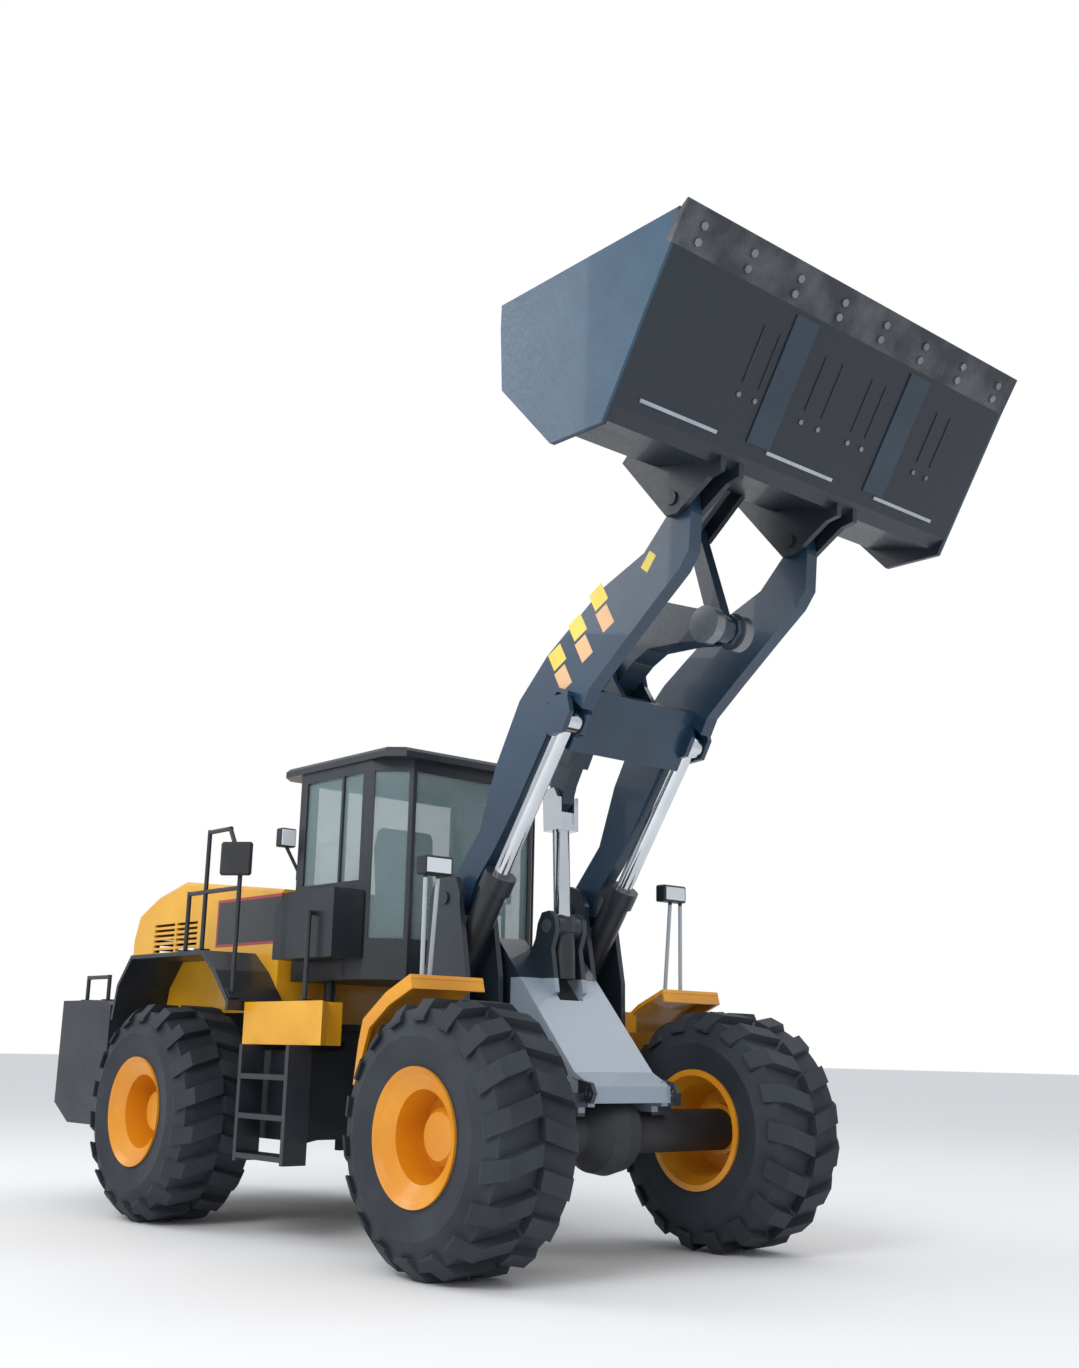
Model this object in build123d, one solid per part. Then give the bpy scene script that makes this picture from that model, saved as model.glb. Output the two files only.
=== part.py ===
from build123d import *
import math
import os

# Articulated wheel loader, boom raised and bucket rolled back.
# Lengths are in millimetres. X runs forward, Y to the machine's left, Z up.
# Places are measured from the steering pin on the ground; the finished pieces are moved
# back by ORIGIN_X so that the origin lies under the middle of the machine's length.
ORIGIN_X = 88.0

# Wheels and axles
WHEELBASE = 3446.0
TREAD = 2316.0
TYRE_R = 775.0
TYRE_W = 692.0
TYRE_SHOULDER_R = 735.0
BEAD_R = 368.0
BEAD_GAP = 0.3
FLANGE_R = 389.0
FLANGE_T = 16.0
RIM_HALF = 327.0
RIM_BORE_R = 262.0
DISC_T = 34.0
DISC_Y = -10.0
HUB_R = 165.0
HUB_LEN = 150.0
SPINDLE_R = 62.0
RUNNING_GAP = 0.5
AXLE_TUBE_R = 135.0
DIFF_R = 262.0

# Front frame, boom pivots and cylinder pivots
NECK_T = 30.0
SLOPE_HALF = 342.0
SLOPE_TOP = (1060.0, 1990.0)
SLOPE_FOOT = (1830.0, 1142.0)
TOWER_INNER = (400.0, 440.0)
TOWER_OUTER = (675.0, 715.0)
BOOM_PIVOT = (950.0, 2230.0)
LIFT_BASE = (743.0, 1495.0)
TILT_BASE = (1320.0, 2070.0)
PIVOT_R = 45.0
PIN_GAP = 0.4

# Boom and its linkage, seen from the side as the machine stands
ARM_Y = 545.0
ARM_T = 100.0
BOOM_TIP = (2950.0, 4500.0)
ROD_PIN = (1958.0, 3302.0)
CRANK_PIVOT = (1800.0, 3730.0)
LINK_PIN = (2767.0, 3852.0)
BUCKET_EAR = (2522.0, 4645.0)
TILT_PIN = (1280.0, 2930.0)
TIP_PIN_R = 45.0

# Lift and tilt cylinders
LIFT_Y = 557.0
LIFT_BARREL_R = 92.0
LIFT_ROD_R = 55.0
LIFT_BARREL_LEN = 1060.0
LIFT_BORE_R = 56.0
TILT_BARREL_R = 82.0
TILT_HEAD_R = 92.0
TILT_HEAD_HALF = 98.0
TILT_TAIL = 345.0
TILT_ROD_R = 57.0
HORN_Y = (104.0, 142.0)

# Bucket
BUCKET_HALF = 1589.0
BUCKET_WALL = 28.0
SIDE_T = 36.0
EDGE_T = 45.0
SPILL_TOP = (2444.0, 5622.0)
BACK_BEND = (2467.0, 5058.0)
HEEL_UP = (2800.0, 4750.0)
HEEL_LOW = (3150.0, 4665.0)
HEEL_FRONT = (3290.0, 4625.0)
HEEL_FLOOR = (3385.0, 4677.0)
FLOOR_REAR = (3327.0, 4581.0)
EDGE_REAR = (3852.0, 5446.0)
EDGE_TIP = (3985.0, 5650.0)
CHEEK_LOW = (2907.0, 4586.0)
CHEEK_REACH = 190.0
EAR_T = 40.0
EAR_GAP = 10.0
LINK_T = 80.0
CAP_R = 118.0
CAP_T = 75.0
CRANK_CAP_T = 26.0
LINK_TURN = 24
LINK_ROOM = 74.0

# Tread
LUG_COUNT = 18
LUG_DEPTH = 44.0
LUG_W = 112.0
LUG_SLANT = 17.0
LUG_START = 6.0

# Rear frame, cab and hood
CAB_HALF = 780.0
CAB_REAR = -790.0
CAB_CORNER = 120.0
CAB_NOSE = 340.0
NOSE_HALF = 560.0
CAB_FLOOR = 1720.0
CAB_TOP = 3260.0
CAB_WALL = 45.0
ROOF_T = 70.0
HOOD_HALF = 850.0
HOOD_FRONT = -860.0
HOOD_REAR = -3210.0
HOOD_WALL = 25.0
HOOD_FOOT = 1430.0
CHASSIS_HALF = 430.0
CHASSIS_T = 45.0
CHASSIS_Z = (760.0, 1250.0)
HINGE_R = 150.0
HINGE_HIGH = 1205.0
HINGE_LOW = 625.0
HINGE_T = 50.0
HINGE_GAP = 1.0
FORK_T = 40.0
STEER_PIN_R = 50.0
GRILLE_PIVOT = (-3222.0, 712.0)
GRILLE_HINGE_Z = (1750.0, 2000.0)

GLASS_T = 8.0
SEAT_GAP = 0.3
WEIGHT_HALF = 1240.0
WEIGHT_CUT = 170.0
FENDER_Y = (800.0, 1360.0)
RAIL_R = 17.0
RAIL_Y = 1250.0

# Where the machine is towed and tied down
TOW_X = -3700.0
TOW_Z = (880.0, 1080.0)
TOW_LIP = 50.0
TOW_R = 26.0
TIE_EYE = (1990.0, 1020.0)
TIE_Y = (345.0, 375.0)
TIE_R = 24.0

os.makedirs("parts", exist_ok=True)


def side_plane(y):
    return Plane(origin=(0, y, 0), x_dir=(1, 0, 0), z_dir=(0, -1, 0))


def plate(points, y0, y1):
    """An outline seen from the side, as thick as from y0 to y1."""
    face = make_face(Polyline(*points, close=True))
    return extrude(side_plane(y0) * face, amount=-(y1 - y0))


def box(x0, x1, y0, y1, z0, z1):
    return Pos((x0 + x1) / 2, (y0 + y1) / 2, (z0 + z1) / 2) * Box(x1 - x0, y1 - y0, z1 - z0)


def across(point, radius, y0, y1):
    """A round bar across the machine."""
    return Pos(point[0], (y0 + y1) / 2, point[1]) * Rot(90, 0, 0) * Cylinder(radius, abs(y1 - y0))


def upright(x, y, radius, z0, z1):
    return Pos(x, y, (z0 + z1) / 2) * Cylinder(radius, z1 - z0)


def bar(start, end, radius):
    """A round bar between two points."""
    a = Vector(*start)
    b = Vector(*end)
    place = Plane(origin=a, z_dir=b - a)
    return extrude(place * Circle(radius), amount=(b - a).length)


def mirrored(shape):
    return mirror(shape, about=Plane.XZ)



def along(start, end, distance):
    """The point that lies so far from start towards end."""
    length = math.dist(start, end)
    return (start[0] + (end[0] - start[0]) * distance / length,
            start[1] + (end[1] - start[1]) * distance / length)


def beside(start, end, distance, offset):
    """Like along, and then to the left of that way by offset."""
    length = math.dist(start, end)
    ux = (end[0] - start[0]) / length
    uz = (end[1] - start[1]) / length
    return (start[0] + ux * distance - uz * offset, start[1] + uz * distance + ux * offset)


def turned(point, centre, degrees):
    """The point turned about a centre, from X towards Z."""
    angle = math.radians(degrees)
    dx = point[0] - centre[0]
    dz = point[1] - centre[1]
    return (centre[0] + dx * math.cos(angle) - dz * math.sin(angle),
            centre[1] + dx * math.sin(angle) + dz * math.cos(angle))


def save(name, *solids):
    pieces = []
    for shape in solids:
        pieces += shape.solids()
    moved = [Pos(-ORIGIN_X, 0, 0) * piece for piece in pieces]
    for piece in moved:
        piece.label = name
    whole = moved[0] if len(moved) == 1 else Compound(children=moved)
    export_step(whole, f"parts/{name}.step")


AXLE_X = {"front": WHEELBASE / 2, "rear": -WHEELBASE / 2}
SIDE = {"left": 1, "right": -1}


def wheel_place(end, side):
    place = Pos(AXLE_X[end], SIDE[side] * TREAD / 2, TYRE_R)
    return place if side == "left" else place * Rot(0, 0, 180)


def ring(profile):
    """A round piece about its own Y axis, from its half section as (y, radius) points."""
    face = make_face(Polyline(*[(radius, y) for y, radius in profile], close=True))
    turned = revolve(face, Axis.Y)
    return turned


def tyre():
    half = TYRE_W / 2
    lip = RIM_HALF - FLANGE_T
    base = TYRE_R - LUG_DEPTH
    right = [(-lip, BEAD_R + BEAD_GAP), (-lip, FLANGE_R + 8), (-half, 560), (-half + 66, base - 14)]
    carcass = ring(right + [(-y, radius) for y, radius in right[::-1]])
    # Each lug is flat on top, with its corners on the tyre's outside
    shoulder = half - 110
    slope = math.tan(math.radians(LUG_SLANT))
    reach = LUG_W / 2 / math.cos(math.radians(LUG_SLANT)) + slope * (shoulder - LUG_START) / 2
    top = math.sqrt(TYRE_R ** 2 - reach ** 2)
    profile = [(LUG_START, base - 60), (LUG_START, top), (shoulder, top), (half - 44, TYRE_SHOULDER_R - 30),
               (half - 4, 660), (half - 4, base - 90)]
    face = Plane.YZ * make_face(Polyline(*profile, close=True))
    block = extrude(face, amount=300, both=True)
    lug = block & Pos(0, (shoulder + LUG_START) / 2, top) * Rot(0, 0, LUG_SLANT) * Box(LUG_W, TYRE_W, 400)
    start = 180 / LUG_COUNT - math.degrees(math.atan2(reach, top))
    lugs = []
    for i in range(LUG_COUNT):
        turn = 360 / LUG_COUNT * i + start
        lugs.append(Rot(0, turn, 0) * lug)
        lugs.append(Rot(0, turn + 180 / LUG_COUNT, 0) * mirrored(lug))
    return carcass.fuse(*lugs)


def rim():
    """The outside of the wheel is +Y."""
    hub_face = DISC_Y + HUB_LEN
    section = [(-RIM_HALF, FLANGE_R), (-RIM_HALF, 350), (-230, 300), (DISC_Y, RIM_BORE_R), (DISC_Y, HUB_R), (DISC_Y - 60, HUB_R), (DISC_Y - 60, 0),
               (hub_face, 0), (hub_face, HUB_R - 30), (hub_face - 30, HUB_R), (DISC_Y + DISC_T, HUB_R),
               (DISC_Y + DISC_T, RIM_BORE_R), (250, RIM_BORE_R), (RIM_HALF - 30, 350),
               (RIM_HALF, FLANGE_R), (RIM_HALF - FLANGE_T, FLANGE_R),
               (RIM_HALF - FLANGE_T, BEAD_R), (-RIM_HALF + FLANGE_T, BEAD_R),
               (-RIM_HALF + FLANGE_T, FLANGE_R)]
    body = ring(section)
    socket = across((0, 0), SPINDLE_R + RUNNING_GAP, DISC_Y - 61, DISC_Y + 40)
    return body - socket


def axle(end):
    inner = TREAD / 2 + DISC_Y - 60 - 2
    tip = TREAD / 2 + DISC_Y + 39
    right = [(-tip, 0), (-tip, SPINDLE_R), (-inner, SPINDLE_R), (-inner, AXLE_TUBE_R),
             (-DIFF_R + 20, AXLE_TUBE_R), (-DIFF_R * 0.77, DIFF_R * 0.65), (-DIFF_R * 0.42, DIFF_R * 0.92)]
    body = ring(right + [(0, DIFF_R)] + [(-y, radius) for y, radius in right[::-1]])
    return Pos(AXLE_X[end], 0, TYRE_R) * body


def save_wheels():
    tyre_shape = tyre()
    rim_shape = rim()
    for end in AXLE_X:
        for side in SIDE:
            save(f"tyre_{end}_{side}", wheel_place(end, side) * tyre_shape)
            save(f"rim_{end}_{side}", wheel_place(end, side) * rim_shape)


# Front frame
PAD_TOP = TYRE_R + AXLE_TUBE_R + 50
TOWER_REAR = 620.0
TOWER_FRONT = 1200.0


def tower_outline():
    x, z = BOOM_PIVOT
    return [(TOWER_REAR, 1180), (TOWER_REAR, 1620), (770, 1800), (790, 2250), (850, 2370), (950, 2400),
            (1060, 2360), (1110, 2250), (1108, 2180), (1194, 1730), (TOWER_FRONT, 1180)]


def front_frame():
    x_axle = AXLE_X["front"]
    wall = [(230, 560), (230, 1330), (620, 1560), (850, 1990), (1030, 1990), (1800, 1142), (1930, 1060),
            (1960, 960), (1960, PAD_TOP - 20), (1450, PAD_TOP - 20), (1300, 760), (700, 560)]
    frame = []
    for side in (-1, 1):
        frame.append(plate(wall, side * (SLOPE_HALF - 42), side * (SLOPE_HALF - 12)))
    body = frame[0] + frame[1]
    slope = [SLOPE_TOP, SLOPE_FOOT, (1990, 1060), (1990, 960), (1960, 960), (1960, 1042), (1815, 1115),
             (1035, 1970)]
    body += plate(slope, -SLOPE_HALF, SLOPE_HALF)
    body += box(620, 1440, -SLOPE_HALF + 12, SLOPE_HALF - 12, 1080, 1110)
    neck = SLOPE_HALF - 12
    body += box(230, 280, -neck, neck, 560, 1330)
    body += box(280, 700, -neck, neck, 560, 590)
    body += box(280, 640, -neck, neck, 1300, 1330)
    # Twin plates of the towers, tied to the middle box below the arms
    for span in (TOWER_INNER, TOWER_OUTER):
        for side in (-1, 1):
            body += plate(tower_outline(), side * span[0], side * span[1])
    for side in (-1, 1):
        body += box(TOWER_REAR, TOWER_FRONT, min(side * 300, side * TOWER_OUTER[1]),
                    max(side * 300, side * TOWER_OUTER[1]), 1180, 1230)
        body += box(1000, TOWER_FRONT, min(side * 300, side * TOWER_INNER[1]),
                    max(side * 300, side * TOWER_INNER[1]), 1230, 1560)
    # Plates that turn on the steering pins
    for z in (HINGE_HIGH, HINGE_LOW):
        arm = box(0, 260, -110, 110, z - HINGE_T / 2, z + HINGE_T / 2)
        eye = upright(0, 0, HINGE_R - 10, z - HINGE_T / 2, z + HINGE_T / 2)
        hole = upright(0, 0, STEER_PIN_R + PIN_GAP, z - HINGE_T, z + HINGE_T)
        body += arm + eye
        body -= hole
    # Saddles on the axle
    for side in (-1, 1):
        y = side * 380
        body += box(x_axle - 150, x_axle + 237, y - 90, y + 90, PAD_TOP - 22, PAD_TOP + 60)
        body += box(x_axle - 150, x_axle + 150, y - 90, y + 90, TYRE_R + AXLE_TUBE_R - 30, PAD_TOP - 20)
    saddle = across((x_axle, TYRE_R), AXLE_TUBE_R + BEAD_GAP, -600, 600)
    body -= saddle
    # Horns that hold the tilt cylinder's base
    horn = [(1150, 1880), (1210, 1990), (1230, 2090), (1270, 2160), (1340, 2170), (1400, 2120),
            (1410, 2040), (1370, 1920), (1420, 1640), (1370, 1610)]
    for side in (-1, 1):
        body += plate(horn, side * HORN_Y[0], side * HORN_Y[1])
    body -= across(TILT_BASE, PIVOT_R + PIN_GAP, -160, 160)
    # Slot that the tilt cylinder swings through
    body -= plate([(1080, 2060), (1460, 1640), (1300, 1400), (800, 1960)], -HORN_Y[0], HORN_Y[0])
    # Pins of the lift cylinders and the boom stay with the towers
    for point in (BOOM_PIVOT, LIFT_BASE):
        for side in (-1, 1):
            body += across(point, PIVOT_R, side * (TOWER_INNER[0] - 15), side * (TOWER_OUTER[1] + 15))
    # Tie-down eyes beside the foot of the slope
    for side in (-1, 1):
        eye = plate([(1900, 1000), (1900, 1100), (2010, 1080), (2040, 1020), (2010, 960)],
                    side * TIE_Y[0], side * TIE_Y[1])
        body += eye + box(1900, 1950, min(side * 300, side * 375), max(side * 300, side * 375), 960, 1090)
        body -= across(TIE_EYE, TIE_R, side * (TIE_Y[0] - 5), side * (TIE_Y[1] + 5))
    return body


def front_axle():
    x = AXLE_X["front"]
    shaft = bar((x - 200, 0, TYRE_R), (x - 620, 0, TYRE_R + 20), 60)
    return axle("front") + shaft


def fender_top(x):
    """Height of the fender's outside over its front half."""
    return 1591 + (x - 1236) * (1694 - 1591) / (1475 - 1236)


def front_fenders():
    outer = [(930, 1040), (968, 1290), (1006, 1432), (1236, 1591), (1475, 1694)]
    inner = [(1485, 1671), (1246, 1568), (1026, 1415), (992, 1285), (955, 1035)]
    deep = [(1500, 1610), (1275, 1515), (1075, 1378), (1035, 1270), (958, 1035)]
    low, high = FENDER_Y
    out = []
    for side in (-1, 1):
        shell = plate(outer + inner, side * low, side * high)
        skirt = plate(outer + deep, side * (high - 24), side * high)
        lip = plate([(1460, 1688), (1475, 1694), (1500, 1610), (1485, 1606)], side * low, side * high)
        bracket = plate([(1030, 1436), (1180, 1540), (1180, 1400), (1030, 1400)],
                        side * (TOWER_OUTER[1] + SEAT_GAP), side * (low + 40))
        out.append(shell + skirt + lip + bracket)
    return out


def headlamps():
    """Lamp boxes on two bars each, standing on the fenders."""
    out = []
    for side in (-1, 1):
        foot = plate([(1215, fender_top(1215) + SEAT_GAP), (1340, fender_top(1340) + SEAT_GAP),
                      (1340, fender_top(1340) + 20), (1215, fender_top(1215) + 20)], side * 1020, side * 1180)
        foot -= box(1200, 1236, -1200, 1200, 1500, 1700)
        post = bar((1312, side * 1150, 1630), (1312, side * 1150, 2330), 14)
        brace = bar((1250, side * 1050, 1604), (1310, side * 1050, 2330), 14)
        lamp = chamfer(box(1250, 1345, min(side * 957, side * 1184), max(side * 957, side * 1184),
                           2320, 2440).edges(), 10)
        out.append(foot + post + brace + lamp)
    return out


# Boom
def boom_outline():
    return [(860, 2190), (845, 2290), (905, 2400), (1148, 2675), (1297, 3086), (1523, 3491), (1787, 3744),
            (2296, 4087), (2669, 4234), (2860, 4420), (2866, 4550), (2950, 4605), (3040, 4560),
            (3062, 4400), (3042, 4164), (2962, 4061), (2771, 3917), (2434, 3654), (2190, 3458),
            (2127, 3345), (2040, 3425), (1850, 3380), (1800, 3225), (1520, 2816), (1300, 2530),
            (1120, 2330), (1050, 2190), (960, 2130)]


CROSS_FACE = ((2088.0, 3492.0), (1908.0, 3123.0))
CROSS_DEPTH = 120.0


def boom():
    arm = plate(boom_outline(), ARM_Y - ARM_T / 2, ARM_Y + ARM_T / 2)
    arm += across(BOOM_PIVOT, 92, TOWER_INNER[1] + 6, TOWER_OUTER[0] - 6)
    arm += across(BOOM_TIP, 95, ARM_Y - ARM_T / 2 - 4, ARM_Y + ARM_T / 2 + 4)
    # Cheeks of the lift rod's clevis
    cheek = [(1880, 3200), (1850, 3330), (1900, 3450), (2050, 3450), (2080, 3330), (2010, 3210)]
    arm += plate(cheek, LIFT_Y - 98, LIFT_Y - 62)
    arm += plate(cheek, LIFT_Y + 62, LIFT_Y + 98)
    arm += plate([(1870, 3405), (1960, 3470), (2060, 3430), (2060, 3460), (1960, 3500), (1850, 3430)],
                 LIFT_Y - 98, LIFT_Y + 98)
    arm -= across(BOOM_PIVOT, PIVOT_R + PIN_GAP, 400, 720)
    arm -= across(BOOM_TIP, TIP_PIN_R + PIN_GAP, 400, 720)
    top, foot = CROSS_FACE
    back_top = beside(foot, top, math.dist(foot, top), CROSS_DEPTH)
    back_foot = beside(foot, top, 0, CROSS_DEPTH)
    inner = ARM_Y - ARM_T / 2
    cross = plate([top, foot, back_foot, back_top], -inner, inner)
    body = cross + arm + mirrored(arm)
    ear = [(2060, 3480), (1900, 3330), (1760, 3560), (1700, 3660), (1690, 3760), (1760, 3835),
           (1860, 3840), (1930, 3770), (1960, 3640)]
    for side in (-1, 1):
        body += plate(ear, side * 122, side * 160)
    body -= across(CRANK_PIVOT, PIVOT_R + PIN_GAP, -200, 200)
    return body


def lift_rods_and_barrels():
    head = along(LIFT_BASE, ROD_PIN, LIFT_BARREL_LEN)
    start = along(LIFT_BASE, ROD_PIN, 70)
    for side, sign in SIDE.items():
        y = sign * LIFT_Y

        def at(point):
            return (point[0], y, point[1])

        barrel = bar(at(start), at(head), LIFT_BARREL_R)
        collar = bar(at(along(LIFT_BASE, ROD_PIN, LIFT_BARREL_LEN - 120)), at(head), LIFT_BARREL_R + 18)
        eye = across(LIFT_BASE, 88, y - 55, y + 55)
        bore = bar(at(along(LIFT_BASE, ROD_PIN, 120)), at(along(LIFT_BASE, ROD_PIN, LIFT_BARREL_LEN + 10)),
                   LIFT_BORE_R)
        barrel = barrel + collar + eye - bore - across(LIFT_BASE, PIVOT_R + PIN_GAP, y - 60, y + 60)
        save(f"lift_barrel_{side}", barrel)
        rod = bar(at(along(LIFT_BASE, ROD_PIN, LIFT_BARREL_LEN - 80)), at(along(ROD_PIN, LIFT_BASE, 40)),
                  LIFT_ROD_R)
        rod_eye = across(ROD_PIN, 82, y - 50, y + 50)
        save(f"lift_rod_{side}", rod + rod_eye)


def crank_outline():
    return [(1740, 3620), (1560, 3560), (1400, 3350), (1250, 3090), (1205, 2960), (1225, 2880),
            (1290, 2855), (1350, 2900), (1385, 3020), (1510, 3245), (1640, 3400), (1790, 3580),
            (1900, 3610), (2010, 3700), (2080, 3752), (2209, 3812), (2511, 3800), (2700, 3770),
            (2800, 3760), (2865, 3820), (2860, 3900), (2800, 3950), (2633, 3998), (2335, 4109),
            (2181, 4140), (2000, 4090), (1830, 3960), (1700, 3800), (1690, 3700)]


def bellcrank():
    body = plate(crank_outline(), -95, 95)
    body -= across(TILT_PIN, 265, 52, 100)
    body -= across(TILT_PIN, 265, -100, -52)
    # The fork is open as far as the link turns in it
    for angle in range(0, LINK_TURN + 1, 12):
        tip = turned(BUCKET_EAR, LINK_PIN, angle)
        length = math.dist(LINK_PIN, tip)
        corners = [beside(LINK_PIN, tip, d, w) for d, w in
                   ((0, LINK_ROOM), (length, LINK_ROOM), (length, -LINK_ROOM), (0, -LINK_ROOM))]
        body -= plate(corners, -LINK_T / 2 - 6, LINK_T / 2 + 6)
    body -= across(LINK_PIN, 112, -LINK_T / 2 - 6, LINK_T / 2 + 6)
    body += across(CRANK_PIVOT, 118, 95, 115) + across(CRANK_PIVOT, 118, -115, -95)
    body -= across(CRANK_PIVOT, PIVOT_R + PIN_GAP, -120, 120)
    body -= across(LINK_PIN, PIVOT_R + PIN_GAP, -100, 100)
    return body


def link():
    half = LINK_T / 2
    left_low = beside(LINK_PIN, BUCKET_EAR, 0, 62)
    right_low = beside(LINK_PIN, BUCKET_EAR, 0, -62)
    length = math.dist(LINK_PIN, BUCKET_EAR)
    left_top = beside(LINK_PIN, BUCKET_EAR, length, 50)
    right_top = beside(LINK_PIN, BUCKET_EAR, length, -50)
    body = plate([left_low, left_top, right_top, right_low], -half, half)
    body += across(LINK_PIN, 85, -half, half) + across(BUCKET_EAR, 78, -half, half)
    body -= across(LINK_PIN, PIVOT_R + PIN_GAP, -100, 100)
    return body


def capped_pin(point, half, cap):
    """A pin with a round cap at each end, outside the plates that it runs through."""
    body = across(point, PIVOT_R, -half - cap, half + cap)
    for side in (-1, 1):
        body += across(point, CAP_R, side * half, side * (half + cap))
    return body


def tilt_cylinder():
    """Its barrel hangs from two stub pins at its head, so only the rod is seen above them."""
    def at(distance):
        x, z = along(TILT_BASE, TILT_PIN, distance)
        return (x, 0, z)

    barrel = bar(at(-TILT_TAIL), at(0), TILT_BARREL_R) + bar(at(-40), at(60), TILT_HEAD_R)
    barrel += across(TILT_BASE, 88, -TILT_HEAD_HALF, TILT_HEAD_HALF)
    barrel -= bar(at(-TILT_TAIL + 40), at(100), TILT_ROD_R + PIN_GAP)
    for side in (-1, 1):
        barrel -= across(TILT_BASE, PIVOT_R + PIN_GAP, side * 64, side * (TILT_HEAD_HALF + 5))
    save("tilt_barrel", barrel)
    length = math.dist(TILT_BASE, TILT_PIN)
    rod = bar(at(-TILT_TAIL + 140), at(length - 190), TILT_ROD_R)
    corners = [beside(TILT_BASE, TILT_PIN, length - 215, 70), beside(TILT_BASE, TILT_PIN, length - 215, -70),
               beside(TILT_BASE, TILT_PIN, length + 10, -75), beside(TILT_BASE, TILT_PIN, length + 75, -40),
               beside(TILT_BASE, TILT_PIN, length + 75, 40), beside(TILT_BASE, TILT_PIN, length + 10, 75)]
    fork = plate(corners, -96, 96)
    gap = [beside(TILT_BASE, TILT_PIN, length - 170, 90), beside(TILT_BASE, TILT_PIN, length - 170, -90),
           beside(TILT_BASE, TILT_PIN, length + 90, -90), beside(TILT_BASE, TILT_PIN, length + 90, 90)]
    fork -= plate(gap, -58, 58)
    save("tilt_rod", rod + fork)


# Bucket
def bucket():
    outer = [SPILL_TOP, (2441, 5464), BACK_BEND, HEEL_UP, HEEL_LOW, HEEL_FRONT, HEEL_FLOOR, EDGE_REAR]
    shell_half = BUCKET_HALF - SIDE_T
    inner = []
    for i, point in enumerate(outer):
        before = outer[max(i - 1, 0)]
        after = outer[min(i + 1, len(outer) - 1)]
        if i == 0:
            before = (2 * point[0] - after[0], 2 * point[1] - after[1])
        if i == len(outer) - 1:
            after = (2 * point[0] - before[0], 2 * point[1] - before[1])
        u = (point[0] - before[0], point[1] - before[1])
        v = (after[0] - point[0], after[1] - point[1])
        lu = math.hypot(*u)
        lv = math.hypot(*v)
        n = (-(u[1] / lu + v[1] / lv), u[0] / lu + v[0] / lv)
        scale = BUCKET_WALL * 2 / (n[0] ** 2 + n[1] ** 2)
        inner.append((point[0] + n[0] * scale, point[1] + n[1] * scale))
    shell = plate(outer + inner[::-1], -shell_half, shell_half)
    seat = EDGE_T + PIN_GAP
    cheek = [SPILL_TOP, (2441, 5464), BACK_BEND, CHEEK_LOW, FLOOR_REAR, EDGE_REAR,
             beside(EDGE_REAR, EDGE_TIP, 0, seat), beside(EDGE_REAR, EDGE_TIP, CHEEK_REACH, seat)]
    body = shell
    for side in (-1, 1):
        body += plate(cheek, side * shell_half, side * BUCKET_HALF)
    # Hinge ears, one each side of each boom tip
    ear = [(2525, 4850), (2620, 4935), (2840, 4735), (3150, 4672), (3350, 4670), (3345, 4570), (3250, 4555),
           (3060, 4440), (2990, 4395), (2900, 4400), (2850, 4460)]
    gap = ARM_T / 2 + EAR_GAP
    for y0 in (ARM_Y + gap, ARM_Y - gap - EAR_T):
        for side in (-1, 1):
            low = min(side * y0, side * (y0 + EAR_T))
            body += plate(ear, low, low + EAR_T)
    mid_ear = [(2480, 5045), (2780, 4760), (2900, 4720), (2700, 4560), (2600, 4480), (2500, 4480),
               (2450, 4560)]
    for side in (-1, 1):
        body += plate(mid_ear, side * (LINK_T / 2 + 11), side * (LINK_T / 2 + 51))
    for side in (-1, 1):
        body -= across(BOOM_TIP, TIP_PIN_R, side * 400, side * 720)
    for side in (-1, 1):
        body += across(BUCKET_EAR, 70, side * (LINK_T / 2 + 51), side * (LINK_T / 2 + 71))
    return body


def cutting_edge():
    run = math.dist(EDGE_REAR, EDGE_TIP)
    inner_rear = beside(EDGE_REAR, EDGE_TIP, 0, EDGE_T)
    inner_front = beside(EDGE_REAR, EDGE_TIP, run - 90, EDGE_T)
    lip = beside(EDGE_REAR, EDGE_TIP, run, 10)
    return plate([EDGE_REAR, EDGE_TIP, lip, inner_front, inner_rear], -BUCKET_HALF, BUCKET_HALF)


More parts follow.
